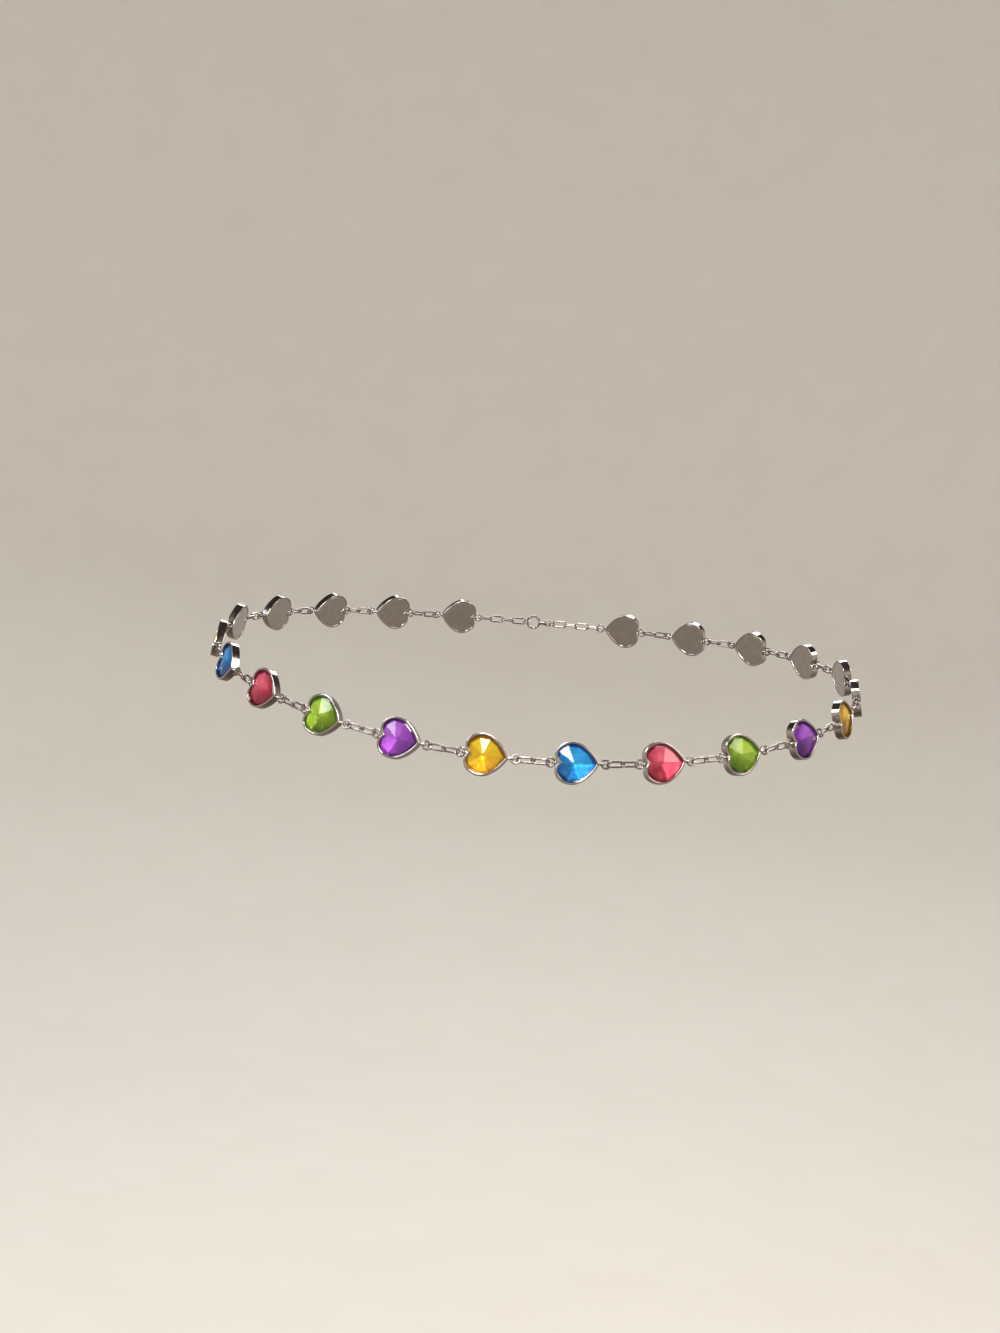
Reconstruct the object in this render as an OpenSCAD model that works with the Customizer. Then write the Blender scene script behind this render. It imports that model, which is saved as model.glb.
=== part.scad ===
// Waist chain: cut glass hearts in metal bezels, joined by short runs of small links into one loop.
// The loop lies as it is worn, with its front towards -Y and its origin in the middle of the waist.

/* [Loop] */
// Number of hearts in the chain
heart_count = 22; // [12:1:24]
// Depth of the loop, front to back, as a share of its width
loop_roundness = 0.82; // [0.65:0.01:1]
// How much lower the front of the chain hangs than the back
front_drop = 38; // [10:1:70]
// How far the drop gathers towards the front
drop_gather = 2; // [1:0.1:3]
// Upward lean of each heart's face, as it lies on the hip
lean = 12; // [0:1:25]

/* [Heart setting] */
// Length of a setting from its lobes to its point
heart_len = 16.7; // [14:0.1:22]
// Thickness of the bezel wall
wall_t = 0.85; // [0.6:0.05:1.1]
// Thickness of the closed back
back_t = 0.6; // [0.4:0.05:1]
// Height of the bezel's rim above the stone's girdle
rim_h = 1.4; // [1:0.05:2]
// Wire of the loops soldered to a setting
loop_wire = 0.8; // [0.6:0.05:1]
// Room round the wire of the ring that such a loop holds
loop_room = 0.45; // [0.3:0.01:0.5]
// Gap between a setting's point and the ring in its loop
tip_gap = 0.56; // [0.2:0.02:1]
// Gap between a setting's lobes and the ring in its cleft
lobe_gap = 0.25; // [0.15:0.05:0.5]
// How far a loop's ends are soldered into the wall
solder_depth = 0.5; // [0.3:0.05:0.6]

/* [Stone] */
// Gap between a stone and its setting
stone_fit = 0.1; // [0.05:0.05:0.2]
// Height of the pointed back of a stone
pavilion_h = 1; // [0.6:0.1:1.4]
// Thickness of the girdle
girdle_t = 0.3; // [0.2:0.05:0.6]
// Width of the steep band of facets, from its corners outside the girdle to its inner edge
bevel_w = 1.7; // [0.8:0.1:2.4]
// Height of that band
bevel_h = 0.6; // [0.4:0.1:1]
// Height of the long facets, from the band to the table
crown_h = 1.2; // [0.4:0.1:1.6]
// Width of the small table in the middle
table_w = 1; // [0.8:0.1:3]
// Facets in each ring of the cut
facets = 10; // [8:2:24]

/* [Links] */
// Wire of the rings and oval links
link_wire = 0.85; // [0.7:0.05:1]
// Room left in a round ring by the two wires that it holds
ring_room = 0.55; // [0.5:0.05:1.5]
// Room beside the wire that an oval link holds
link_room = 0.95; // [0.8:0.05:2]
// Outside length of an oval link
link_len = 7.4; // [6.5:0.1:10]
// Free play where two wires meet
play = 0.2; // [0.18:0.01:0.25]
// Rings and links between two hearts
run_links = 4; // [3:1:8]
// Rings and links on each side of the clasp
back_links = 6; // [4:2:12]
// Most that a run of links is twisted from its even lie
twist = 3; // [0:1:4]

/* [Clasp] */
// Outside diameter of the clasp's large eye
eye_d = 7; // [6:0.1:10]
// Wire of that eye
eye_wire = 1; // [0.9:0.05:1.2]
// Length of the neck between the eye and the small loop
neck_len = 3; // [2:0.1:6]
// Diameter of the neck
neck_d = 2.2; // [1.8:0.1:2.6]

/* [Hidden] */
$fn = 48;
EPS = 0.001;

// Arcs of half a heart, as shares of its length: lobe, shoulder and flank, each inside the next
lobe_at = [-0.2275, 0.1796];
lobe_share = 0.2635;
shoulder_share = 0.443;
flank_share = 1.018;
// Directions in which the lobe meets the shoulder, and the shoulder meets the flank
shoulder_from = 132;
flank_from = 59;
// How far under the last arc each arc starts, so that the two cross cleanly and no seam is left
step_share = 0.0006;
// Place of the middle of the cut along the heart, as a share of its length from the lobes
cut_centre_share = 0.42;
// How far the facets' corners reach past the stone's edge, so that every edge is cut by a facet:
// a share of the heart's length for each facet, since fewer and longer facets reach further
facet_reach = 0.63 * heart_len / facets;
// Share of the full width that the small flat at the stone's back takes
culet_share = 0.06;

GLASS = ["gold", "dodgerblue", "crimson", "yellowgreen", "darkorchid"];
METAL = "silver";

function turn(a) = [cos(a), sin(a)];
function unit(v) = v / norm(v);
function two_digits(k) = str(k < 10 ? "0" : "", k);

SETTINGS = [for (k = [1:heart_count]) str("heart_setting_", two_digits(k))];
STONES = [for (k = [1:heart_count]) str("heart_stone_", two_digits(k))];

// Half a heart's arcs at its full size, worked out from the shares
flank_axis_share = lobe_at + (lobe_share - step_share - shoulder_share) * turn(shoulder_from)
    + (shoulder_share - step_share - flank_share) * turn(flank_from);
tip_share = flank_axis_share[0] + sqrt(pow(flank_share, 2) - pow(flank_axis_share[1], 2));
heart_k = heart_len / (tip_share - lobe_at[0] + lobe_share);
mid_share = (tip_share + lobe_at[0] - lobe_share) / 2;
lobe_c = heart_k * (lobe_at - [mid_share, 0]);
lobe_r = heart_k * lobe_share;
arc_step = heart_k * step_share;
shoulder_r = heart_k * shoulder_share;
shoulder_c = lobe_c + (lobe_r - arc_step - shoulder_r) * turn(shoulder_from);
flank_r = heart_k * flank_share;
flank_c = shoulder_c + (shoulder_r - arc_step - flank_r) * turn(flank_from);

// The heart's two points on its axis, with its edge taken in by inset
function tip_x(inset) = flank_c[0] + sqrt(pow(flank_r - inset, 2) - pow(flank_c[1], 2));
function cleft_x(inset) = lobe_c[0] - sqrt(pow(lobe_r - inset, 2) - pow(lobe_c[1], 2));

// A ring holds a link and a loop or the eye, whichever has the thicker wire
ring_r = link_wire + (max(loop_wire, eye_wire) + ring_room) / 2;
link_bend = link_wire + link_room / 2;
loop_r = link_wire / 2 + loop_room + loop_wire / 2;
eye_r = (eye_d - eye_wire) / 2;

// How far a ring's wire lies behind the wire that it hangs on
function held_back(wire) = wire / 2 + play + link_wire / 2;

// Places along a heart where its rings hang: clear of its point, and clear of its two lobes
tip_hook_x = tip_x(0) + tip_gap + link_wire / 2 + held_back(loop_wire);
lobe_reach = lobe_r + lobe_gap + ring_r + link_wire / 2;
cleft_hook_x = lobe_c[0] - sqrt(pow(lobe_reach, 2) - pow(lobe_c[1], 2)) + ring_r - held_back(loop_wire);
hooks_mid_x = (cleft_hook_x + tip_hook_x) / 2;
heart_span = tip_hook_x - cleft_hook_x;
setting_depth = back_t + stone_fit + pavilion_h + girdle_t + rim_h;
loop_z = setting_depth / 2;

// The clasp's small loop is as large as a setting's
clasp_span = 2 * loop_r + neck_len + 2 * eye_r;

// Lengths between the wires' middles, and of a run from one loop's wire to the wire of another
function is_ring(i, n) = i == 0 || i == n - 1;
function piece_pitch(i, n) = is_ring(i, n) ? 2 * ring_r : link_len - link_wire;
function pieces_len(i, n) = i == 0 ? 0 : pieces_len(i - 1, n) + piece_pitch(i - 1, n);
function run_len(n, wire) =
    pieces_len(n, n) - (n - 1) * (link_wire + play) - held_back(wire) - held_back(loop_wire);

// How far rings and links sway about the chain, one to each side in turn: between hearts they face half out,
// and by the clasp they cross squarely
RUN_SWAY = [12, 48];
BACK_SWAY = [45, 45];
function sway(i, n, most) = (i % 2 == 0 ? -1 : 1) * (is_ring(i, n) ? most[0] : most[1]);
// Runs are twisted by shares of the most that they take, scattered by the golden angle
GOLDEN_ANGLE = 137.5;
function scatter(k) = sin(k * GOLDEN_ANGLE);

heart_pitch = heart_span + run_len(run_links, loop_wire);
tail_run = run_len(back_links, loop_wire);
eye_run = run_len(back_links, eye_wire);
row_half = ((heart_count - 1) * heart_pitch + heart_span) / 2;
chain_len = 2 * row_half + tail_run + clasp_span + eye_run;

// The loop's line: an oval in plan that drops at the front, closed at the chain's own length
LOOP_STEPS = 360;
FIT_ROUNDS = 5;
function loop_point(half_w, angle) = [
    half_w * sin(angle),
    -half_w * loop_roundness * cos(angle),
    front_drop * (0.5 - pow((1 + cos(angle)) / 2, drop_gather))
];
function step_len(half_w, i) =
    norm(loop_point(half_w, (i + 1) * 360 / LOOP_STEPS) - loop_point(half_w, i * 360 / LOOP_STEPS));
function loop_table(half_w) = [
    for (i = 0, s = 0; i <= LOOP_STEPS; s = s + step_len(half_w, i), i = i + 1) [s, i * 360 / LOOP_STEPS]
];
function loop_len(half_w) = loop_table(half_w)[LOOP_STEPS][0];
function fitted(half_w, rounds) =
    rounds == 0 ? half_w : fitted(half_w * chain_len / loop_len(half_w), rounds - 1);
half_width = fitted(chain_len / (2 * PI), FIT_ROUNDS);
along = loop_table(half_width);
function on_loop(s) = loop_point(half_width, lookup(s < 0 ? s + chain_len : s, along));

// A frame at p with x along the chain, y up the body and z out of it
function outward(t) = unit(cross(t, [0, 0, 1]));
function upward(t) = cross(outward(t), t);
function chain_frame(p, t) =
    let (z = outward(t) * cos(lean) + upward(t) * sin(lean), y = cross(z, t))
    [[t[0], y[0], z[0], p[0]], [t[1], y[1], z[1], p[1]], [t[2], y[2], z[2], p[2]], [0, 0, 0, 1]];
function moved(frame, p) = [for (i = [0:2]) (frame * [p[0], p[1], p[2], 1])[i]];
function span_frame(a, b) = chain_frame((a + b) / 2, unit(b - a));

// Each heart's frame, at the middle between the places where its rings hang, and those two places
function heart_at(k) = (k - (heart_count + 1) / 2) * heart_pitch;
function heart_frame(k) =
    let (s = heart_at(k)) span_frame(on_loop(s - heart_span / 2), on_loop(s + heart_span / 2));
function cleft_hook(k) = moved(heart_frame(k), [-heart_span / 2, 0, 0]);
function tip_hook(k) = moved(heart_frame(k), [heart_span / 2, 0, 0]);

// The clasp's frame, in the middle of the back, and the places where its rings hang
clasp_frame = span_frame(on_loop(row_half + tail_run), on_loop(row_half + tail_run + clasp_span));
tail_hook = moved(clasp_frame, [-clasp_span / 2, 0, 0]);
eye_hook = moved(clasp_frame, [clasp_span / 2, 0, 0]);

// Puts a heart's own piece in its place on the loop
module in_place(k) {
    multmatrix(heart_frame(k)) translate([-hooks_mid_x, 0, -loop_z]) children();
}

// Two discs that mirror each other in the heart's axis
module disc_pair(centre, r) {
    for (side = [-1, 1])
        translate([centre[0], side * centre[1]]) circle(r);
}

// What lies to the right of two lines, from a point between the lobes through p and through its mirror image
module right_of(p) {
    inner = [lobe_c[0], 0];
    far = 2 * p - inner;
    polygon([inner, far, [heart_len, far[1]], [heart_len, -far[1]], [far[0], -far[1]]]);
}

// A heart's outline with its edge taken in by inset, its cleft at -X and its point at +X
module heart(inset) {
    shoulder_edge = shoulder_r - inset;
    flank_edge = flank_r - inset;
    disc_pair(lobe_c, lobe_r - inset);
    intersection() {
        disc_pair(shoulder_c, shoulder_edge);
        right_of(shoulder_c + shoulder_edge * turn(shoulder_from));
    }
    intersection() {
        translate(flank_c) circle(flank_edge);
        mirror([0, 1]) translate(flank_c) circle(flank_edge);
        right_of(flank_c + flank_edge * turn(flank_from));
    }
}

// Round wire lying in the XY plane: a whole ring, and a half ring that bends towards +X
module wire_ring(r, wire) {
    rotate_extrude() translate([r, 0]) circle(d = wire);
}
module wire_bend(r, wire) {
    rotate([0, 0, -90]) rotate_extrude(angle = 180) translate([r, 0]) circle(d = wire);
}

// A loop of bent wire that stands out along X, with its two ends soldered into the wall
module wall_loop(hook_x, wall_x) {
    bend_x = hook_x - loop_r;
    translate([0, 0, loop_z]) rotate([90, 0, 0]) {
        translate([bend_x, 0, 0]) wire_bend(loop_r, loop_wire);
        for (y = [-loop_r, loop_r])
            translate([wall_x, y, 0]) rotate([0, 90, 0]) cylinder(h = bend_x - wall_x, d = loop_wire);
    }
}

// A bezel with its closed back, and the loops soldered at its cleft and its point
module heart_setting(k) {
    color(METAL) in_place(k) {
        difference() {
            linear_extrude(setting_depth) heart(0);
            translate([0, 0, back_t]) linear_extrude(setting_depth) heart(wall_t);
        }
        wall_loop(tip_hook_x, tip_x(0) - solder_depth);
        mirror([1, 0, 0]) wall_loop(-cleft_hook_x, -cleft_x(0) - solder_depth);
    }
}

// Distance from the middle of the cut to the stone's edge, in one direction
stone_inset = wall_t + stone_fit;
cut_c = [heart_len * (cut_centre_share - 0.5), 0];
function reach(centre, r, dir) =
    let (v = centre - cut_c, along_ray = v * dir) along_ray + sqrt(pow(along_ray, 2) - v * v + r * r);
function seen_from(centre, p) = atan2(p[1] - centre[1], p[0] - centre[0]);
function edge_reach(angle) = angle > 180 ? edge_reach(360 - angle) :
    let (
        dir = turn(angle),
        flank = reach(flank_c, flank_r - stone_inset, dir),
        shoulder = reach(shoulder_c, shoulder_r - stone_inset, dir)
    )
    seen_from(flank_c, cut_c + flank * dir) <= flank_from ? flank :
    seen_from(shoulder_c, cut_c + shoulder * dir) <= shoulder_from ? shoulder :
    reach(lobe_c, lobe_r - stone_inset, dir);

// One ring of the cut's corners, each a share of the way out to the stone's edge
function cut_ring(share, z) = [
    for (i = [0:facets - 1]) let (a = i * 360 / facets, r = share * (edge_reach(a) + facet_reach))
    [cut_c[0] + r * cos(a), r * sin(a), z]
];
half_height = shoulder_c[1] + shoulder_r - stone_inset;
// The rings from the back to the table, each with its share of the way out and its height
girdle_top = pavilion_h + girdle_t;
stone_h = girdle_top + bevel_h + crown_h;
CUT = [
    [culet_share, 0],
    [1, pavilion_h],
    [1, girdle_top],
    [1 - bevel_w / half_height, girdle_top + bevel_h],
    [table_w / 2 / half_height, stone_h]
];
function ring_faces(level) = [
    for (i = [0:facets - 1]) let (j = (i + 1) % facets, low = level * facets, high = low + facets)
    [low + i, high + i, high + j, low + j]
];
module cut_body() {
    levels = len(CUT);
    polyhedron(
        points = [for (ring = CUT) each cut_ring(ring[0], ring[1])],
        faces = concat(
            [[for (i = [0:facets - 1]) i]],
            [for (level = [0:levels - 2]) each ring_faces(level)],
            [[for (i = [facets - 1:-1:0]) (levels - 1) * facets + i]]
        )
    );
}

// A cut stone: a smooth heart at its girdle, with facets in front of it and behind it
module heart_stone(k) {
    color(GLASS[(k - 1) % len(GLASS)]) in_place(k) translate([0, 0, back_t + stone_fit]) intersection() {
        translate([0, 0, -EPS]) linear_extrude(stone_h + 2 * EPS) heart(stone_inset);
        cut_body();
    }
}

// An oval link lying along X in the XY plane
module oval_link() {
    straight = link_len - link_wire - 2 * link_bend;
    for (side = [0, 180])
        rotate([0, 0, side]) {
            translate([straight / 2, 0, 0]) wire_bend(link_bend, link_wire);
            translate([-straight / 2, link_bend, 0]) rotate([0, 90, 0]) cylinder(h = straight, d = link_wire);
        }
}

// A run of n rings and links from one loop, of the given wire, to the next
// The whole run is turned by turned, and its rings and links sway about that by the most that they take
module link_run(from, wire, to, n, turned, most) {
    start = -held_back(wire);
    overlap = (start + pieces_len(n, n) - held_back(loop_wire) - norm(to - from)) / (n - 1);
    multmatrix(chain_frame(from, unit(to - from)))
        for (i = [0:n - 1])
            translate([start + pieces_len(i, n) - i * overlap + piece_pitch(i, n) / 2, 0, 0])
                rotate([turned + sway(i, n, most), 0, 0])
                    if (is_ring(i, n)) wire_ring(ring_r, link_wire);
                    else oval_link();
}
module heart_runs(first, last) {
    for (k = [first:last])
        link_run(tip_hook(k), loop_wire, cleft_hook(k + 1), run_links, twist * scatter(k), RUN_SWAY);
}

// The links of each half of the chain, with the run that joins it to the clasp
half_count = floor(heart_count / 2);
module link_chain_left() {
    color(METAL) {
        heart_runs(1, half_count);
        link_run(eye_hook, eye_wire, cleft_hook(1), back_links, -45, BACK_SWAY);
    }
}
module link_chain_right() {
    color(METAL) {
        heart_runs(half_count + 1, heart_count - 1);
        link_run(tip_hook(heart_count), loop_wire, tail_hook, back_links, 45, BACK_SWAY);
    }
}

// A plain closed clasp: a large eye and a small loop, held together by a neck
module clasp() {
    neck_x = 2 * loop_r - clasp_span / 2;
    color(METAL) multmatrix(clasp_frame) {
        translate([neck_x - loop_r, 0, 0]) wire_ring(loop_r, loop_wire);
        translate([neck_x, 0, 0]) rotate([0, 90, 0]) cylinder(h = neck_len, d = neck_d);
        translate([neck_x + neck_len + eye_r, 0, 0]) wire_ring(eye_r, eye_wire);
    }
}

for (k = [1:heart_count]) {
    heart_setting(k);
    heart_stone(k);
}
link_chain_left();
link_chain_right();
clasp();
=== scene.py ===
import math

import bmesh
import bpy
from mathutils import Matrix, Vector


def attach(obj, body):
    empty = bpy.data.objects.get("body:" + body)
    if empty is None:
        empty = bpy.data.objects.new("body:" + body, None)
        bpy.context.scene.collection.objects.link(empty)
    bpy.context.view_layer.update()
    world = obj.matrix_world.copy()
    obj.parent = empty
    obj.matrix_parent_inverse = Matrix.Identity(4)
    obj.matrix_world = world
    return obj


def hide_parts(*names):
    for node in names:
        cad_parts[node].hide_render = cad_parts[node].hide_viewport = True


# Waist chain: cut glass hearts in plated bezels, joined by short runs of rings and oval links.
# Bezels, stones, both halves of the links and the clasp replace their CAD nodes and ride on the body root.
# Sizes are in millimetres and are those of the part's source; MM brings a mesh to metres.
MM = 0.001

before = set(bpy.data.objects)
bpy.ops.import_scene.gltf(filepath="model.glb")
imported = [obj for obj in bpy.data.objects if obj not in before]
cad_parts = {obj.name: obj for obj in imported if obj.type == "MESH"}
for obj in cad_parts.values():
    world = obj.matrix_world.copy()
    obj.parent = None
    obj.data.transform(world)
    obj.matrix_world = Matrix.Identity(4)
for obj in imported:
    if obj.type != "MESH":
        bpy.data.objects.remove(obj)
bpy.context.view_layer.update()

# The loop that the chain lies in: its depth as a share of its width, how far its front hangs below its
# back, how much of that fall gathers at the front, and how far its pieces lean back
HEARTS = 22
LOOP_ROUNDNESS = 0.82
FRONT_DROP = 38
DROP_GATHER = 2
LEAN = math.radians(12)
# The loop is measured in this many steps, and brought to the chain's length in this many rounds
LOOP_STEPS = 360
FIT_ROUNDS = 5

# A heart setting: a bent strip on a closed back, with a wire loop soldered at each end
HEART_LEN = 16.7
WALL = 0.85
BACK = 0.6
DEPTH = 3.4
LOOP_WIRE = 0.8
LOOP_ROOM = 0.45
TIP_GAP = 0.56
LOBE_GAP = 0.25
SOLDER_DEPTH = 0.5
# The strip's edges are rolled over the stone and rubbed round at the back
RIM_ROUND = 0.26
INNER_ROUND = 0.2
BACK_ROUND = 0.22
# The back plate sits a hair inside the strip, which leaves a fine seam line
SEAM_INSET = 0.95
SEAM_WIDTH = 0.12
PLATE_SINK = 0.07
PLATE_EDGE = 1.25
# How far from the point and the cleft the strip starts to bend round them
TIP_BEND = 0.42
CLEFT_BEND = 0.3

# Arcs of half a heart, as shares of its length: lobe, shoulder and flank, each a step inside the last
LOBE_AT = Vector((-0.2275, 0.1796))
LOBE_SHARE = 0.2635
SHOULDER_SHARE = 0.443
FLANK_SHARE = 1.018
SHOULDER_FROM = math.radians(132)
FLANK_FROM = math.radians(59)
STEP_SHARE = 0.0006

# Rings and oval links, the play that they hang with, and the clasp at the back
LINK_WIRE = 0.85
RING_ROOM = 0.55
LINK_ROOM = 0.95
LINK_LEN = 7.4
PLAY = 0.2
RUN_LINKS = 4
BACK_LINKS = 6
# A run between two hearts is turned by chance, by this many degrees at most
TWIST = 3
GOLDEN_ANGLE = 137.5
# How far rings and oval links sway about the chain, one to each side in turn, in a run between two
# hearts and in one at the back, which is turned as a whole too
RUN_SWAY = (12, 48)
BACK_SWAY = (45, 45)
BACK_TURN = 45
EYE_D = 7
EYE_WIRE = 1
NECK_LEN = 3
NECK_D = 2.2
# Each ring and link is bent shut from a length of wire, which leaves a cut as wide as this
CUT_WIDTH = 0.09


def turn(angle):
    return Vector((math.cos(angle), math.sin(angle)))


# The arcs at their full size, as the part's source works them out
flank_axis = (LOBE_AT + (LOBE_SHARE - STEP_SHARE - SHOULDER_SHARE) * turn(SHOULDER_FROM)
              + (SHOULDER_SHARE - STEP_SHARE - FLANK_SHARE) * turn(FLANK_FROM))
tip_share = flank_axis.x + math.sqrt(FLANK_SHARE ** 2 - flank_axis.y ** 2)
heart_k = HEART_LEN / (tip_share - LOBE_AT.x + LOBE_SHARE)
LOBE_C = heart_k * (LOBE_AT - Vector(((tip_share + LOBE_AT.x - LOBE_SHARE) / 2, 0)))
LOBE_R = heart_k * LOBE_SHARE
ARC_STEP = heart_k * STEP_SHARE
SHOULDER_R = heart_k * SHOULDER_SHARE
SHOULDER_C = LOBE_C + (LOBE_R - ARC_STEP - SHOULDER_R) * turn(SHOULDER_FROM)
FLANK_R = heart_k * FLANK_SHARE
FLANK_C = SHOULDER_C + (SHOULDER_R - ARC_STEP - FLANK_R) * turn(FLANK_FROM)


def tip_x(inset):
    return FLANK_C.x + math.sqrt((FLANK_R - inset) ** 2 - FLANK_C.y ** 2)


def cleft_x(inset):
    return LOBE_C.x - math.sqrt((LOBE_R - inset) ** 2 - LOBE_C.y ** 2)


def held_back(wire):
    """How far a ring's wire lies behind the wire that it hangs on."""
    return wire / 2 + PLAY + LINK_WIRE / 2


RING_R = LINK_WIRE + (max(LOOP_WIRE, EYE_WIRE) + RING_ROOM) / 2
LINK_BEND = LINK_WIRE + LINK_ROOM / 2
LOOP_R = LINK_WIRE / 2 + LOOP_ROOM + LOOP_WIRE / 2
EYE_R = (EYE_D - EYE_WIRE) / 2
TIP_HOOK = tip_x(0) + TIP_GAP + LINK_WIRE / 2 + held_back(LOOP_WIRE)
LOBE_REACH = LOBE_R + LOBE_GAP + RING_R + LINK_WIRE / 2
CLEFT_HOOK = LOBE_C.x - math.sqrt(LOBE_REACH ** 2 - LOBE_C.y ** 2) + RING_R - held_back(LOOP_WIRE)
HOOKS_MID = (CLEFT_HOOK + TIP_HOOK) / 2
HEART_SPAN = TIP_HOOK - CLEFT_HOOK
LOOP_Z = DEPTH / 2
CLASP_SPAN = 2 * LOOP_R + NECK_LEN + 2 * EYE_R


def is_ring(i, n):
    return i in (0, n - 1)


def piece_pitch(i, n):
    return 2 * RING_R if is_ring(i, n) else LINK_LEN - LINK_WIRE


def pieces_len(i, n):
    """The length of the first i pieces of a run of n, laid end to end."""
    return sum(piece_pitch(j, n) for j in range(i))


def run_len(n, wire):
    """How far a run of n pieces reaches, from a wire of this thickness to a setting's loop."""
    return pieces_len(n, n) - (n - 1) * (LINK_WIRE + PLAY) - held_back(wire) - held_back(LOOP_WIRE)


HEART_PITCH = HEART_SPAN + run_len(RUN_LINKS, LOOP_WIRE)
TAIL_RUN = run_len(BACK_LINKS, LOOP_WIRE)
EYE_RUN = run_len(BACK_LINKS, EYE_WIRE)
ROW_HALF = ((HEARTS - 1) * HEART_PITCH + HEART_SPAN) / 2
CHAIN_LEN = 2 * ROW_HALF + TAIL_RUN + CLASP_SPAN + EYE_RUN


# ---- The loop's line and the frames of what hangs on it

def loop_point(half_w, angle):
    c = math.cos(angle)
    drop = FRONT_DROP * (0.5 - ((1 + c) / 2) ** DROP_GATHER)
    return Vector((half_w * math.sin(angle), -half_w * LOOP_ROUNDNESS * c, drop))


def loop_table(half_w):
    """The length of the loop from its front up to each step."""
    lengths = [0.0]
    for i in range(LOOP_STEPS):
        a, b = (loop_point(half_w, math.tau * j / LOOP_STEPS) for j in (i, i + 1))
        lengths.append(lengths[-1] + (b - a).length)
    return lengths


half_width = CHAIN_LEN / math.tau
for _ in range(FIT_ROUNDS):
    half_width *= CHAIN_LEN / loop_table(half_width)[-1]
along = loop_table(half_width)


def on_loop(s):
    """The point at a length s along the loop from its front."""
    s %= CHAIN_LEN
    i = max(j for j in range(LOOP_STEPS) if along[j] <= s)
    share = (s - along[i]) / (along[i + 1] - along[i])
    return loop_point(half_width, math.tau * (i + share) / LOOP_STEPS)


def chain_frame(p, t):
    """A frame at p with x along the chain, y up and z out of the loop, leaning back."""
    outward = t.cross(Vector((0, 0, 1))).normalized()
    z = outward * math.cos(LEAN) + outward.cross(t) * math.sin(LEAN)
    axes = Matrix((t, z.cross(t), z)).transposed().to_4x4()
    return Matrix.Translation(p) @ axes


def span_frame(a, b):
    return chain_frame((a + b) / 2, (b - a).normalized())


def heart_frame(k):
    s = (k - (HEARTS + 1) / 2) * HEART_PITCH
    return span_frame(on_loop(s - HEART_SPAN / 2), on_loop(s + HEART_SPAN / 2))


def heart_place(k):
    """Where the own axes of heart k lie: its back is at z = 0, and its point looks along x."""
    return heart_frame(k) @ Matrix.Translation((-HOOKS_MID, 0, -LOOP_Z))


def cleft_hook(k):
    return heart_frame(k) @ Vector((-HEART_SPAN / 2, 0, 0))


def tip_hook(k):
    return heart_frame(k) @ Vector((HEART_SPAN / 2, 0, 0))


CLASP_FRAME = span_frame(on_loop(ROW_HALF + TAIL_RUN), on_loop(ROW_HALF + TAIL_RUN + CLASP_SPAN))
TAIL_HOOK = CLASP_FRAME @ Vector((-CLASP_SPAN / 2, 0, 0))
EYE_HOOK = CLASP_FRAME @ Vector((CLASP_SPAN / 2, 0, 0))


# ---- Node trees

def linear(hex_colour):
    """A colour given as sRGB hex, turned to the linear values that a shader takes."""
    parts = [int(hex_colour[i:i + 2], 16) / 255 for i in (1, 3, 5)]
    return [p / 12.92 if p <= 0.04045 else ((p + 0.055) / 1.055) ** 2.4 for p in parts] + [1.0]


def add(tree, kind, inputs=None, **settings):
    """Adds a node: settings are its properties, inputs hold values or the sockets to link."""
    node = tree.nodes.new(kind)
    for name, value in settings.items():
        setattr(node, name, value)
    for key, value in (inputs or {}).items():
        if isinstance(value, bpy.types.NodeSocket):
            tree.links.new(value, node.inputs[key])
        else:
            node.inputs[key].default_value = value
    return node


def new_material(name):
    """An empty material, its node tree and the place that its patterns follow."""
    material = bpy.data.materials.new(name)
    material.use_nodes = True
    tree = material.node_tree
    tree.nodes.clear()
    return material, tree, add(tree, "ShaderNodeTexCoord").outputs["Object"]


def per_metre(size):
    """Scale of a noise on Object coordinates whose grains are about this many millimetres."""
    return 1 / (size * MM)


# A Mix node's colour sockets: its two colours, and what it gives
COLOUR_A, COLOUR_B, COLOUR_OUT = 6, 7, 2
# Fine scratches from wear: the scale of their pattern along each axis, which draws them out up and
# down, and their depth and strength
HAIRLINE_STRETCH = (1.0, 1.0, 0.12)
HAIRLINE_DEPTH = 0.02
HAIRLINE_STRENGTH = 0.1


def plated_metal(name, bright, dull, roughness, polish_grain, hairline):
    """Plated metal: cloudy polish in two tones, uneven gloss, and fine hairlines from wear."""
    material, tree, place = new_material(name)
    clouds = add(tree, "ShaderNodeTexNoise",
                 {"Vector": place, "Scale": per_metre(polish_grain), "Detail": 4.0, "Roughness": 0.6})
    gloss = add(tree, "ShaderNodeMapRange",
                {"Value": clouds.outputs["Fac"], "From Min": 0.3, "From Max": 0.7,
                 "To Min": roughness[1], "To Max": roughness[0]})
    squashed = add(tree, "ShaderNodeMapping", {"Vector": place, "Scale": HAIRLINE_STRETCH})
    scratches = add(tree, "ShaderNodeTexNoise",
                    {"Vector": squashed.outputs["Vector"], "Scale": per_metre(hairline), "Detail": 2.0})
    bump = add(tree, "ShaderNodeBump", {"Height": scratches.outputs["Fac"],
                                        "Strength": HAIRLINE_STRENGTH, "Distance": HAIRLINE_DEPTH * MM})
    tone = add(tree, "ShaderNodeMix", {0: clouds.outputs["Fac"], COLOUR_A: linear(dull),
                                       COLOUR_B: linear(bright)}, data_type="RGBA")
    shader = add(tree, "ShaderNodeBsdfPrincipled",
                 {"Base Color": tone.outputs[COLOUR_OUT], "Metallic": 1.0,
                  "Roughness": gloss.outputs["Result"], "Normal": bump.outputs["Normal"]})
    add(tree, "ShaderNodeOutputMaterial", {"Surface": shader.outputs["BSDF"]})
    return material


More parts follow.
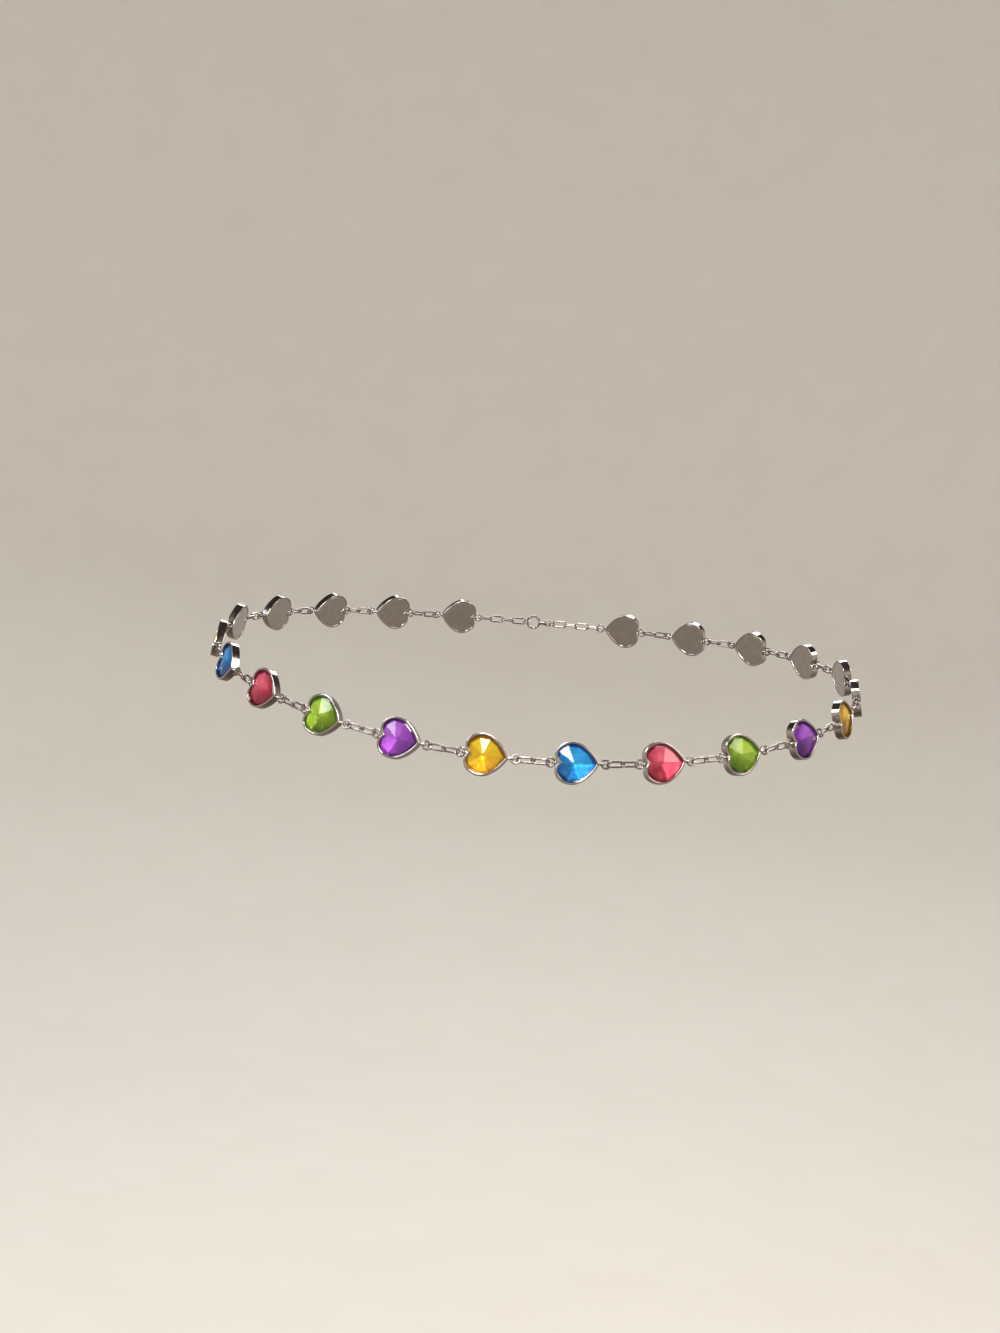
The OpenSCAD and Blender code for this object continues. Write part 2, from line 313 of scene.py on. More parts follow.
def stone_colour(tree, place, tint, deep, grain, swing):
    """A stone's colour, from tint to deep as each facet's painted shade says, made a little uneven by soft
    streaks.
    """
    streaks = add(tree, "ShaderNodeTexNoise", {"Vector": place, "Scale": per_metre(grain), "Detail": 3.0})
    streak = add(tree, "ShaderNodeMapRange",
                 {"Value": streaks.outputs["Fac"], "From Min": 0.25, "From Max": 0.75,
                  "To Min": -swing, "To Max": swing})
    # Each facet's painted shade, which darkens or lightens it in place of its reflections
    facet = add(tree, "ShaderNodeAttribute", attribute_name="painted_facet_shade")
    depth = add(tree, "ShaderNodeMath", {0: facet.outputs["Fac"], 1: streak.outputs["Result"]},
                operation="ADD", use_clamp=True)
    tone = add(tree, "ShaderNodeMix", {0: depth.outputs["Value"], COLOUR_A: linear(tint),
                                       COLOUR_B: linear(deep)}, data_type="RGBA")
    return tone.outputs[COLOUR_OUT]


# Grain of the streaks in the glass and of the wipes on it, and how far the streaks swing the colour
GLASS_STREAKS, GLASS_WIPES, GLASS_SWING = 3, 1.2, 0.14
GLASS_ROUGHNESS = (0.01, 0.03)
GLASS_IOR = 1.52


def pressed_glass(name, tint, deep):
    """Moulded coloured glass: clear and glossy, each facet with its own painted shade in its colour."""
    material, tree, place = new_material(name)
    colour = stone_colour(tree, place, tint, deep, GLASS_STREAKS, GLASS_SWING)
    wipes = add(tree, "ShaderNodeTexNoise",
                {"Vector": place, "Scale": per_metre(GLASS_WIPES), "Detail": 2.0})
    gloss = add(tree, "ShaderNodeMapRange",
                {"Value": wipes.outputs["Fac"], "From Min": 0.35, "From Max": 0.75,
                 "To Min": GLASS_ROUGHNESS[0], "To Max": GLASS_ROUGHNESS[1]})
    shader = add(tree, "ShaderNodeBsdfPrincipled",
                 {"Base Color": colour, "IOR": GLASS_IOR, "Transmission Weight": 1.0,
                  "Roughness": gloss.outputs["Result"]})
    add(tree, "ShaderNodeOutputMaterial", {"Surface": shader.outputs["BSDF"]})
    return material


# Grain of the foil's streaks and of its rubbed patches, and how far the streaks swing its colour
FOIL_STREAKS, FOIL_PATCHES, FOIL_SWING = 2, 2.5, 0.2
FOIL_ROUGHNESS = (0.3, 0.48)


def mirror_foil(name, tint, deep):
    """The painted mirror behind a stone: a soft metal shine, rubbed a little uneven, its colour carrying
    painted shade and light facet by facet.
    """
    material, tree, place = new_material(name)
    patches = add(tree, "ShaderNodeTexNoise",
                  {"Vector": place, "Scale": per_metre(FOIL_PATCHES), "Detail": 3.0})
    gloss = add(tree, "ShaderNodeMapRange",
                {"Value": patches.outputs["Fac"], "From Min": 0.3, "From Max": 0.7,
                 "To Min": FOIL_ROUGHNESS[0], "To Max": FOIL_ROUGHNESS[1]})
    shader = add(tree, "ShaderNodeBsdfPrincipled",
                 {"Base Color": stone_colour(tree, place, tint, deep, FOIL_STREAKS, FOIL_SWING),
                  "Metallic": 1.0, "Roughness": gloss.outputs["Result"]})
    add(tree, "ShaderNodeOutputMaterial", {"Surface": shader.outputs["BSDF"]})
    return material


PAPER_TOOTH = 60


def matt_paper(name, light, shade):
    """Matt paper of the backdrop: even and pale, with a soft tooth drawn coarse enough to show."""
    material, tree, place = new_material(name)
    tooth = add(tree, "ShaderNodeTexNoise",
                {"Vector": place, "Scale": per_metre(PAPER_TOOTH), "Detail": 3.0})
    tone = add(tree, "ShaderNodeMix", {0: tooth.outputs["Fac"], COLOUR_A: linear(light),
                                       COLOUR_B: linear(shade)}, data_type="RGBA")
    shader = add(tree, "ShaderNodeBsdfPrincipled",
                 {"Base Color": tone.outputs[COLOUR_OUT], "Roughness": 0.9, "Specular IOR Level": 0.2})
    add(tree, "ShaderNodeOutputMaterial", {"Surface": shader.outputs["BSDF"]})
    return material


# Rhodium-bright plating on zinc alloy: near-white highlights over a slightly warm grey
BEZEL_METAL = plated_metal("Rhodium plated zinc alloy, polished", bright="#E4E0DB", dull="#C9C3BC",
                           roughness=(0.07, 0.2), polish_grain=3, hairline=0.35)
# Nickel-bright plating on drawn steel wire: painted a little darker than the bezels as shade, more worn and
# rougher all over
LINK_METAL = plated_metal("Nickel plated steel wire, tumbled", bright="#D2CCC7", dull="#9A9089",
                          roughness=(0.12, 0.28), polish_grain=1.6, hairline=0.3)

# Pressed glass over painted mirror foil: a bright stone whose dark steep edges are painted shade, the deepest
# colour laid on the steep facets. For each colour: the glass at its palest and at its deepest, then the foil
# likewise
GLASS_TINTS_AND_SHADES = {
    "yellow": ("#FFF4A4", "#8E5F2A", "#FFE668", "#F2C23C"),
    "blue": ("#9CE4FC", "#1E4690", "#78CCF6", "#3A9EDC"),
    "red": ("#FCC4CC", "#8C3A52", "#FF9FB4", "#E8627F"),
    "green": ("#E8F6A8", "#54803A", "#DDF08A", "#B4CC50"),
    "purple": ("#E8BCF6", "#5F2F78", "#DDA0F0", "#AE68C8"),
}
GLASS_ORDER = list(GLASS_TINTS_AND_SHADES)
STONE_GLASS = {c: pressed_glass(f"Pressed glass, {c}", *GLASS_TINTS_AND_SHADES[c][:2]) for c in GLASS_ORDER}
STONE_FOIL = {c: mirror_foil(f"Mirror foil, {c}", *GLASS_TINTS_AND_SHADES[c][2:]) for c in GLASS_ORDER}
# Uncoated paper, which scatters the light and hardly shines
BACKDROP_PAPER = matt_paper("Matt pale grey paper", light="#DBD7D1", shade="#D5D1CA")


# ---- Meshes

def mesh_piece(name, mesh, *materials):
    """A piece of this mesh in its materials, at the origin."""
    for material in materials:
        mesh.materials.append(material)
    piece = bpy.data.objects.new(name, mesh)
    bpy.context.scene.collection.objects.link(piece)
    return piece


def skin(shell, rows):
    """Faces between closed rows of points."""
    for low, high in zip(rows, rows[1:]):
        for i in range(len(low)):
            j = (i + 1) % len(low)
            shell.faces.new((low[i], low[j], high[j], high[i]))


def closed_skin(shell, rows):
    """A skin with a cap over its first row and one over its last."""
    skin(shell, rows)
    shell.faces.new(rows[0])
    shell.faces.new(list(reversed(rows[-1])))


def corner(before, point, after, steps):
    """Points of a soft bend that leaves one end, heads for the corner and arrives at the other end."""
    shares = [i / (steps + 1) for i in range(1, steps + 1)]
    return [(1 - t) ** 2 * before + 2 * t * (1 - t) * point + t * t * after for t in shares]


def arc_points(centre, radius, start, end, steps):
    return [centre + radius * turn(start + (end - start) * i / steps) for i in range(steps)]


LOBE_STEPS, SHOULDER_STEPS, FLANK_STEPS, BEND_STEPS = 16, 12, 10, 3


def heart_ring(inset):
    """A heart's outline, its edge taken in by inset, from just above the cleft round by the point."""
    lobe, shoulder, flank = LOBE_R - inset, SHOULDER_R - inset, FLANK_R - inset
    cleft, tip = Vector((cleft_x(inset), 0)), Vector((tip_x(inset), 0))
    lobe_from = math.atan2(-LOBE_C.y, cleft.x - LOBE_C.x) + math.tau - CLEFT_BEND / lobe
    flank_to = math.atan2(-FLANK_C.y, tip.x - FLANK_C.x) + TIP_BEND / flank
    half = arc_points(LOBE_C, lobe, lobe_from, SHOULDER_FROM, LOBE_STEPS)
    half += arc_points(SHOULDER_C, shoulder, SHOULDER_FROM, FLANK_FROM, SHOULDER_STEPS)
    half += arc_points(FLANK_C, flank, FLANK_FROM, flank_to, FLANK_STEPS)
    half.append(FLANK_C + flank * turn(flank_to))
    mirrored = [Vector((p.x, -p.y)) for p in reversed(half)]
    return (half + corner(half[-1], tip, mirrored[0], BEND_STEPS) + mirrored
            + corner(mirrored[-1], cleft, half[0], BEND_STEPS))


def round_edge(inset, z, radius, start, end, steps=4):
    """Part of a section, as (inset, height): an edge rubbed round between two angles in degrees."""
    angles = [math.radians(start + (end - start) * i / steps) for i in range(steps + 1)]
    return [(inset + radius * math.cos(a), z + radius * math.sin(a)) for a in angles]


# How close to a rounded edge the flat beside it holds its line
HOLD = 0.06
# The bezel's section, as (inset, height), from the back plate round the strip to the inner floor
BEZEL_SECTION = (
    [(PLATE_EDGE, PLATE_SINK), (SEAM_INSET + SEAM_WIDTH, PLATE_SINK), (SEAM_INSET, 2 * PLATE_SINK),
     (SEAM_INSET - SEAM_WIDTH / 2, PLATE_SINK / 2), (SEAM_INSET - SEAM_WIDTH, 0), (BACK_ROUND + HOLD, 0)]
    + round_edge(BACK_ROUND, BACK_ROUND, BACK_ROUND, -90, -180)
    + [(0, BACK_ROUND + HOLD), (0, DEPTH - RIM_ROUND - HOLD)]
    + round_edge(RIM_ROUND, DEPTH - RIM_ROUND, RIM_ROUND, 180, 90)
    + round_edge(WALL - INNER_ROUND, DEPTH - INNER_ROUND, INNER_ROUND, 90, 0)
    + [(WALL, DEPTH - INNER_ROUND - HOLD), (WALL, BACK + HOLD), (WALL, BACK)]
)
# The strip is bent by hand, so its wall and rim wander by a few hundredths
WANDER = 0.035
WANDER_WAVES = (3, 5)


def scatter(k):
    """A number from -1 to 1 for heart k, as if by chance."""
    return math.sin(math.radians(k * GOLDEN_ANGLE))


def wander(share, k):
    """How far the wall stands inside its true line, at a share of the way round heart k."""
    waves = [math.sin(math.tau * n * share + n * k * math.radians(GOLDEN_ANGLE)) for n in WANDER_WAVES]
    return WANDER * (1 - sum(waves) / len(waves)) / 2


def bezel_shell(shell, k):
    """The strip and back of heart k, added to a mesh as one closed skin."""
    centre = Vector((LOBE_C.x / 2, 0))
    rings = []
    for inset, z in BEZEL_SECTION:
        points = heart_ring(inset)
        ring = []
        for i, p in enumerate(points):
            p = p + (centre - p).normalized() * wander(i / len(points), k)
            ring.append(shell.verts.new((p.x, p.y, z)))
        rings.append(ring)
    closed_skin(shell, rings)


def shaping_tree(name, inputs, result):
    """A tree of geometry nodes with its named inputs and its one result, and what its inputs give."""
    tree = bpy.data.node_groups.new(name, "GeometryNodeTree")
    for words, kind in inputs.items():
        tree.interface.new_socket(words, in_out="INPUT", socket_type="NodeSocket" + kind)
    tree.interface.new_socket(result, in_out="OUTPUT", socket_type="NodeSocketGeometry")
    return tree, add(tree, "NodeGroupInput").outputs


def round_section(tree, given):
    """The round section of the wire, from the tree's inputs for its thickness and its sides."""
    half = add(tree, "ShaderNodeMath", {0: given["Wire"], 1: 0.5}, operation="MULTIPLY")
    section = add(tree, "GeometryNodeCurvePrimitiveCircle", {"Resolution": given["Sides"],
                                                             "Radius": half.outputs["Value"]})
    return section.outputs["Curve"]


def drawn_wire(tree, path, section):
    """Smooth wire along a path, closed at its ends."""
    wire = add(tree, "GeometryNodeCurveToMesh", {"Curve": path, "Profile Curve": section, "Fill Caps": True})
    return add(tree, "GeometryNodeSetShadeSmooth", {"Geometry": wire.outputs["Mesh"]}).outputs["Geometry"]


def in_metal(tree, wires, metal, result):
    """Real wires in their metal, given as the tree's result."""
    real = add(tree, "GeometryNodeRealizeInstances", {"Geometry": wires})
    plated = add(tree, "GeometryNodeSetMaterial", {"Geometry": real.outputs["Geometry"], "Material": metal})
    add(tree, "NodeGroupOutput", {result: plated.outputs["Geometry"]})
    return tree


def wire_tree():
    """Geometry nodes that draw wire along a mesh of edges, as thick as the points' flare says."""
    tree, given = shaping_tree("Wire along a path", {"Path": "Geometry", "Wire": "Float", "Sides": "Int",
                                                     "Metal": "Material"}, "Wire drawn")
    flare = add(tree, "GeometryNodeInputNamedAttribute", {"Name": "flare"}, data_type="FLOAT")
    path = add(tree, "GeometryNodeMeshToCurve", {"Mesh": given["Path"]})
    path = add(tree, "GeometryNodeSetCurveRadius", {"Curve": path.outputs["Curve"],
                                                    "Radius": flare.outputs["Attribute"]})
    wire = drawn_wire(tree, path.outputs["Curve"], round_section(tree, given))
    return in_metal(tree, wire, given["Metal"], "Wire drawn")


# A Random Value node's sockets for plain numbers: its upper limit, and what it gives
MOST, CHOSEN = 3, 1
SLIDE_SEED = 7
LINK_INPUTS = {"Places": "Geometry", "Ring radius": "Float", "Link length": "Float", "Link width": "Float",
               "Wire": "Float", "Cut width": "Float", "Ring steps": "Int", "Bend steps": "Int",
               "Sides": "Int", "Metal": "Material"}
# A bend a hair under half a link's width keeps its two ends from falling on one point
BEND_SHARE = 0.498


def link_tree():
    """Geometry nodes that hang a cut ring or an oval link on each point, turned as the point says."""
    tree, given = shaping_tree("Rings and links of the chain", LINK_INPUTS, "Links hung")
    section = round_section(tree, given)
    cut_angle = add(tree, "ShaderNodeMath", {0: given["Cut width"], 1: given["Ring radius"]},
                    operation="DIVIDE")
    sweep = add(tree, "ShaderNodeMath", {0: math.tau, 1: cut_angle.outputs["Value"]}, operation="SUBTRACT")
    ring = add(tree, "GeometryNodeCurveArc",
               {"Resolution": given["Ring steps"], "Radius": given["Ring radius"],
                "Sweep Angle": sweep.outputs["Value"]}, mode="RADIUS")
    box = add(tree, "GeometryNodeCurvePrimitiveQuadrilateral", {"Width": given["Link length"],
                                                                "Height": given["Link width"]})
    bend = add(tree, "ShaderNodeMath", {0: given["Link width"], 1: BEND_SHARE}, operation="MULTIPLY")
    oval = add(tree, "GeometryNodeFilletCurve", {"Curve": box.outputs["Curve"], "Count": given["Bend steps"],
                                                 "Radius": bend.outputs["Value"]}, mode="POLY")
    ring_here = add(tree, "GeometryNodeInputNamedAttribute", {"Name": "ring_here"}, data_type="BOOLEAN")
    link_here = add(tree, "FunctionNodeBooleanMath", {0: ring_here.outputs["Attribute"]}, operation="NOT")
    turned = add(tree, "GeometryNodeInputNamedAttribute", {"Name": "turned"}, data_type="QUATERNION")
    joined = add(tree, "GeometryNodeJoinGeometry")
    for path, here in ((ring, ring_here.outputs["Attribute"]), (oval, link_here.outputs["Boolean"])):
        hung = add(tree, "GeometryNodeInstanceOnPoints",
                   {"Points": given["Places"], "Selection": here, "Rotation": turned.outputs["Attribute"],
                    "Instance": drawn_wire(tree, path.outputs["Curve"], section)})
        if path == ring:
            # Each ring has slid round by chance, so its cut shows somewhere else
            slid = add(tree, "FunctionNodeRandomValue", {MOST: math.tau, "Seed": SLIDE_SEED},
                       data_type="FLOAT")
            spin = add(tree, "ShaderNodeCombineXYZ", {"Z": slid.outputs[CHOSEN]})
            hung = add(tree, "GeometryNodeRotateInstances",
                       {"Instances": hung.outputs["Instances"], "Rotation": spin.outputs["Vector"],
                        "Local Space": True})
        tree.links.new(hung.outputs["Instances"], joined.inputs["Geometry"])
    return in_metal(tree, joined.outputs["Geometry"], given["Metal"], "Links hung")


def grown(name, start_mesh, tree, **inputs):
    """The plain mesh that a node tree makes from a start mesh, with its named inputs set."""
    source = bpy.data.objects.new(name + "_start", start_mesh)
    bpy.context.scene.collection.objects.link(source)
    modifier = source.modifiers.new(name, "NODES")
    modifier.node_group = tree
    sockets = {s.name: s.identifier for s in tree.interface.items_tree if s.in_out == "INPUT"}
    for words, value in inputs.items():
        modifier[sockets[words.replace("_", " ")]] = value
    seen = source.evaluated_get(bpy.context.evaluated_depsgraph_get())
    mesh = bpy.data.meshes.new_from_object(seen)
    source.modifiers.remove(modifier)
    bpy.data.objects.remove(source)
    return mesh


WIRE_TREE = wire_tree()
LINK_TREE = link_tree()


# ---- The pieces

def path_mesh(*paths, closed=False):
    """A mesh of edges along paths; each path is a list of (point, flare of the wire)."""
    points, edges, flares = [], [], []
    for path in paths:
        first = len(points)
        points += [p for p, flare in path]
        flares += [flare for p, flare in path]
        edges += [(first + i, first + i + 1) for i in range(len(path) - 1)]
        if closed:
            edges.append((len(points) - 1, first))
    mesh = bpy.data.meshes.new("path")
    mesh.from_pydata(points, edges, [])
    mesh.attributes.new("flare", "FLOAT", "POINT").data.foreach_set("value", flares)
    return mesh


# Solder has run up each leg of a loop: how thick the wire looks, by its distance from the wall
SOLDER_RUN = ((0, 1.38), (0.12, 1.24), (0.28, 1.1), (0.48, 1.0))
LOOP_BEND_STEPS = 16


def loop_path(hook_x, wall_x, side):
    """The path of a setting's loop, from leg to leg round its bend; side is 1 or -1 along X."""
    bend_x = hook_x - LOOP_R
    leg = [(wall_x - SOLDER_DEPTH, SOLDER_RUN[0][1])] + [(wall_x + d, flare) for d, flare in SOLDER_RUN]
    path = [(Vector((side * x, 0, LOOP_Z - LOOP_R)), flare) for x, flare in leg]
    for i in range(LOOP_BEND_STEPS + 1):
        at = turn(math.pi * (i / LOOP_BEND_STEPS - 0.5)) * LOOP_R
        path.append((Vector((side * (bend_x + at.x), 0, LOOP_Z + at.y)), 1.0))
    return path + [(Vector((side * x, 0, LOOP_Z + LOOP_R)), flare) for x, flare in reversed(leg)]


# Smooth shading stops at edges sharper than this
SHARP_ANGLE = math.radians(32)


def placed(name, shell, place):
    """A smooth mesh of a shell in millimetres, put in its place and brought to metres."""
    bmesh.ops.recalc_face_normals(shell, faces=shell.faces)
    shell.transform(Matrix.Scale(MM, 4) @ place)
    mesh = bpy.data.meshes.new(name)
    shell.to_mesh(mesh)
    shell.free()
    mesh.shade_smooth()
    mesh.set_sharp_from_angle(angle=SHARP_ANGLE)
    return mesh


LOOP_PATHS = path_mesh(loop_path(TIP_HOOK, tip_x(0), 1), loop_path(-CLEFT_HOOK, -cleft_x(0), -1))
LOOPS = grown("loops", LOOP_PATHS, WIRE_TREE, Wire=LOOP_WIRE, Sides=14, Metal=BEZEL_METAL)


def make_setting(k):
    """Bezel k with its back and its two loops."""
    shell = bmesh.new()
    bezel_shell(shell, k)
    shell.from_mesh(LOOPS)
    name = f"bezel_{k:02d}"
    piece = mesh_piece(name, placed(name, shell, heart_place(k)), BEZEL_METAL)
    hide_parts(f"heart_setting_{k:02d}")
    return piece


# Ground edges between a stone's front facets catch a thread of light
EDGE_GRIND = 0.05
# Points this close are one, and triangles bent less than this are one facet; ground edges bend more
POINT_MERGE = 0.002
FLAT_ANGLE = math.radians(0.3)
EDGE_ANGLE = math.radians(3)
# A facet whose normal leans forward more than this is ground; one that leans back this much has foil
FRONT_FACET = 0.3
BACK_FACET = -0.15

# Painted shade in a facet's colour, in place of the light and dark of its reflections: its mean, how much
# deeper it is painted on one side, and that side. The long facets are painted deeper low down, where light
# from below brightens them; the steep band is painted dark all round and darkest high on the cleft side, as
# the rim's shade and the dark that steep facets reflect
LONG_FACET_DEPTH, LONG_FACET_SHADE, LONG_SHADE_SIDE = 0.16, 0.14, math.radians(-110)
BAND_PAINTED_SHADE, BAND_SHADE, BAND_SHADE_SIDE = 0.9, 0.3, math.radians(125)
# Painted light and shade on the foil: it is painted lightest on its upper facets and deepest on its lower
# ones, which evens out the brighter lower half of each stone
FOIL_DEPTH, FOIL_SHADE = 0.5, 0.5
# The steep band of facets ends this high over the setting's back, and the long facets start there
BAND_TOP = 2.6
# How far a facet's painted shade is off by chance, a painted stand-in for the facets' differing reflections,
# and the steps of that chance from facet to facet and stone
CHANCE = 0.12
FACET_CHANCE, STONE_CHANCE = 2.3, 1.7


def painted_shade_of_facet(normal, height, i, k):
    """How deep the painted shade is in facet i of stone k, from its normal and height in its setting."""
    side = math.atan2(normal.y, normal.x)
    by_chance = CHANCE * math.sin(i * FACET_CHANCE + k * STONE_CHANCE)
    if normal.z < BACK_FACET:
        return FOIL_DEPTH - FOIL_SHADE * math.sin(side) + by_chance
    if height > BAND_TOP:
        return LONG_FACET_DEPTH + LONG_FACET_SHADE * math.cos(side - LONG_SHADE_SIDE) + by_chance
    return BAND_PAINTED_SHADE + BAND_SHADE * math.cos(side - BAND_SHADE_SIDE) + by_chance


def make_stone(k):
    """The stone's own facets, merged from the CAD node, with ground edges and foil on the pointed back."""
    colour = GLASS_ORDER[(k - 1) % len(GLASS_ORDER)]
    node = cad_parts[f"heart_stone_{k:02d}"]
    out = heart_place(k).to_3x3() @ Vector((0, 0, 1))
    stone = bmesh.new()
    stone.from_mesh(node.data)
    bmesh.ops.remove_doubles(stone, verts=stone.verts, dist=POINT_MERGE * MM)
    bmesh.ops.dissolve_limit(stone, angle_limit=FLAT_ANGLE, verts=stone.verts, edges=stone.edges)
    stone.normal_update()
    front = [e for e in stone.edges if len(e.link_faces) == 2
             and all(f.normal.dot(out) > FRONT_FACET for f in e.link_faces)
             and e.calc_face_angle() > EDGE_ANGLE]
    bmesh.ops.bevel(stone, geom=front, offset=EDGE_GRIND * MM, segments=1, affect="EDGES",
                    clamp_overlap=True)
    stone.normal_update()
    # Each facet carries painted shade and light, set in place of the reflections that it would show
    depth = stone.faces.layers.float.new("painted_facet_shade")
    to_setting = heart_place(k).inverted()
    for i, face in enumerate(stone.faces):
        normal = to_setting.to_3x3() @ face.normal
        height = (to_setting @ (face.calc_center_median() / MM)).z
        face.material_index = 1 if normal.z < BACK_FACET else 0
        face.smooth = False
        face[depth] = painted_shade_of_facet(normal, height, i, k)
    name = f"glass_heart_{k:02d}"
    mesh = bpy.data.meshes.new(name)
    stone.to_mesh(mesh)
    stone.free()
    piece = mesh_piece(name, mesh, STONE_GLASS[colour], STONE_FOIL[colour])
    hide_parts(node.name)
    return piece


def run_places(start, wire, end, n, turned, most):
    """Places of a run's rings and links, and whether each is a ring: most holds how far the two sway."""
    begin = -held_back(wire)
    overlap = (begin + pieces_len(n, n) - held_back(LOOP_WIRE) - (end - start).length) / (n - 1)
    run = chain_frame(start, (end - start).normalized())
    for i in range(n):
        x = begin + pieces_len(i, n) - i * overlap + piece_pitch(i, n) / 2
        ring = is_ring(i, n)
        sway = (1 if i % 2 else -1) * most[0 if ring else 1]
        swung = Matrix.Rotation(math.radians(turned + sway), 4, "X")
        yield run @ Matrix.Translation((x, 0, 0)) @ swung, ring


def heart_runs(first, last):
    """Places of the runs that start at the points of the hearts from first to last."""
    for k in range(first, last + 1):
        yield from run_places(tip_hook(k), LOOP_WIRE, cleft_hook(k + 1), RUN_LINKS, TWIST * scatter(k),
                              RUN_SWAY)


def make_links(name, node, places):
    """The rings and links of one half of the chain."""
    start = bpy.data.meshes.new(name + "_places")
    start.from_pydata([place.translation for place, ring in places], [], [])
    start.attributes.new("turned", "QUATERNION", "POINT")
    start.attributes.new("ring_here", "BOOLEAN", "POINT")
    for i, (place, ring) in enumerate(places):
        start.attributes["turned"].data[i].value = place.to_quaternion()
        start.attributes["ring_here"].data[i].value = ring
    mesh = grown(name, start, LINK_TREE, Ring_radius=RING_R, Link_length=LINK_LEN - LINK_WIRE,
                 Link_width=2 * LINK_BEND, Wire=LINK_WIRE, Cut_width=CUT_WIDTH, Ring_steps=40, Bend_steps=8,
                 Sides=12, Metal=LINK_METAL)
    mesh.transform(Matrix.Scale(MM, 4))
    piece = mesh_piece(name, mesh)
    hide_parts(node)
    return piece


# The clasp's neck, as (share of its length, share of its radius): slim between two collars
NECK_TURNING = ((-0.14, 0.4), (-0.09, 0.72), (0.0, 0.92), (0.06, 1.0), (0.17, 1.0), (0.23, 0.88), (0.36, 0.8),
                (0.64, 0.8), (0.77, 0.88), (0.83, 1.0), (0.94, 1.0), (1.0, 0.92), (1.09, 0.72), (1.14, 0.4))
NECK_SIDES = 36
EYE_STEPS = 56
# Solder at the neck: how much it thickens the wire, and how far it has run along it
SOLDER_SWELL, SOLDER_REACH = 0.32, 0.9


def soldered_ring(centre_x, radius, joint):
    """A ring's path, its wire flared by solder where it meets the neck, at an angle from its middle."""
    path = []
    for i in range(EYE_STEPS):
        angle = math.tau * i / EYE_STEPS
        off = radius * abs(math.remainder(angle - joint, math.tau))
        at = radius * turn(angle)
        flare = 1 + SOLDER_SWELL * math.exp(-(off / SOLDER_REACH) ** 2)
        path.append((Vector((centre_x + at.x, at.y, 0)), flare))
    return path


def make_clasp():
    """The clasp: a turned neck, soldered to a small loop at one end and a large eye at the other."""
    neck_x = 2 * LOOP_R - CLASP_SPAN / 2
    shell = bmesh.new()
    rows = []
    for share, width in NECK_TURNING:
        ring = [NECK_D / 2 * width * turn(math.tau * i / NECK_SIDES) for i in range(NECK_SIDES)]
        rows.append([shell.verts.new((neck_x + share * NECK_LEN, p.x, p.y)) for p in ring])
    closed_skin(shell, rows)
    for centre, radius, wire, joint in ((neck_x - LOOP_R, LOOP_R, LOOP_WIRE, 0.0),
                                        (neck_x + NECK_LEN + EYE_R, EYE_R, EYE_WIRE, math.pi)):
        ring = path_mesh(soldered_ring(centre, radius, joint), closed=True)
        shell.from_mesh(grown("eye", ring, WIRE_TREE, Wire=wire, Sides=18, Metal=LINK_METAL))
    piece = mesh_piece("clasp_body", placed("clasp_body", shell, CLASP_FRAME), LINK_METAL)
    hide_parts("clasp")
    return piece


half_count = HEARTS // 2
left_places = list(heart_runs(1, half_count))
left_places += run_places(EYE_HOOK, EYE_WIRE, cleft_hook(1), BACK_LINKS, -BACK_TURN, BACK_SWAY)
right_places = list(heart_runs(half_count + 1, HEARTS - 1))
right_places += run_places(tip_hook(HEARTS), LOOP_WIRE, TAIL_HOOK, BACK_LINKS, BACK_TURN, BACK_SWAY)

pieces = [make_setting(k) for k in range(1, HEARTS + 1)]
pieces += [make_stone(k) for k in range(1, HEARTS + 1)]
pieces += [make_links("chain_left", "link_chain_left", left_places),
           make_links("chain_right", "link_chain_right", right_places), make_clasp()]
for piece in pieces:
    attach(piece, "root")


# ---- Floor, light and camera

FLOOR_Z = -500
SWEEP_SIDES = 96
# Paper that lies flat under the chain, and a second sheet that sweeps up all round it: (radius, height)
FLOOR_ROWS = ((0, 0), (500, 0), (1000, 0))
SWEEP_ROWS = ((1000, 0), (1100, 0), (1400, 40), (1800, 160), (2150, 420), (2350, 800), (2450, 1400),
              (2500, 3200))
# The floor's innermost ring is merged to a point
POLE_MERGE = 0.1


def make_paper(name, rows):
    """A round sheet of paper through its rows, its face towards the chain."""
    sheet = bmesh.new()
    rings = []
    for radius, height in reversed(rows):
        ring = [radius * turn(math.tau * i / SWEEP_SIDES) for i in range(SWEEP_SIDES)]
        rings.append([sheet.verts.new((p.x * MM, p.y * MM, (FLOOR_Z + height) * MM)) for p in ring])
    skin(sheet, rings)
    bmesh.ops.remove_doubles(sheet, verts=sheet.verts, dist=POLE_MERGE * MM)
    sheet.normal_update()
    mesh = bpy.data.meshes.new(name)
    sheet.to_mesh(mesh)
    sheet.free()
    mesh.shade_smooth()
    return mesh_piece(name, mesh, BACKDROP_PAPER)


paper_floor = make_paper("paper_floor", FLOOR_ROWS)
paper_sweep = make_paper("paper_sweep", SWEEP_ROWS)
# Polished metal shows the lamps, and between them the dimmer room instead of the paper
paper_floor.visible_glossy = False
paper_sweep.visible_glossy = False
# The stones take their light from the open studio beyond the paper
paper_floor.visible_transmission = False
paper_sweep.visible_transmission = False


